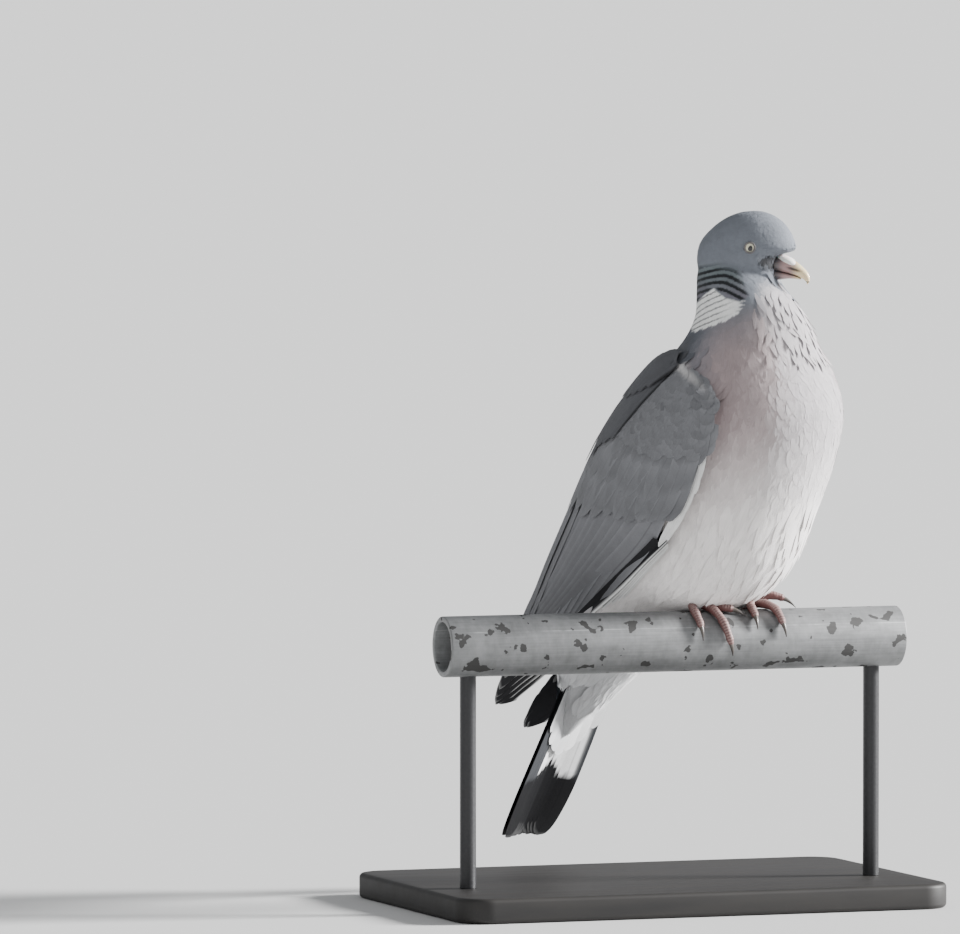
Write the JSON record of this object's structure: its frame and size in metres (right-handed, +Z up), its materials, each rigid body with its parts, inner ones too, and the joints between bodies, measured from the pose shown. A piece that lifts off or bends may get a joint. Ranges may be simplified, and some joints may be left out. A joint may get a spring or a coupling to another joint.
{
  "type": "perched wood pigeon model",
  "caption": "Life-size wood pigeon, head turned to one side, perched on a cut length of round tube rail on a plain flat stand with two rods.",
  "frame": {"origin": "middle of the underside of the stand base", "axes": "+Z up; +X along the rail, away from the bird's tail; -Y the side the bird's breast faces"},
  "size_m": [0.29, 0.2098, 0.387],
  "materials": {
    "plumage": "soft matt feathers",
    "wing": "matt feather vanes",
    "tail": "matt feather vanes",
    "horn": "satin horn",
    "cere": "powdery skin",
    "eye": "wet gloss",
    "foot": "scaled skin",
    "claw": "satin horn",
    "rail": "dull galvanised",
    "board": "satin black lacquer",
    "rod": "satin black"
  },
  "bodies": {
    "root": {"head": "plumage", "neck": "plumage", "trunk": "plumage", "wing_left": "wing", "wing_right": "wing", "wingtip_left": "wing", "wingtip_right": "wing", "tail": "tail", "bill_upper": "horn", "bill_lower": "horn", "cere": "cere", "eye_left": "eye", "eye_right": "eye", "leg_left": "foot", "leg_right": "foot", "foot_left": "foot", "foot_right": "foot", "claw_left_hind": "claw", "claw_left_inner": "claw", "claw_left_middle": "claw", "claw_left_outer": "claw", "claw_right_hind": "claw", "claw_right_inner": "claw", "claw_right_middle": "claw", "claw_right_outer": "claw", "perch_rail": "rail", "stand_base": "board", "stand_rod_left": "rod", "stand_rod_right": "rod"}
  },
  "joints": []
}
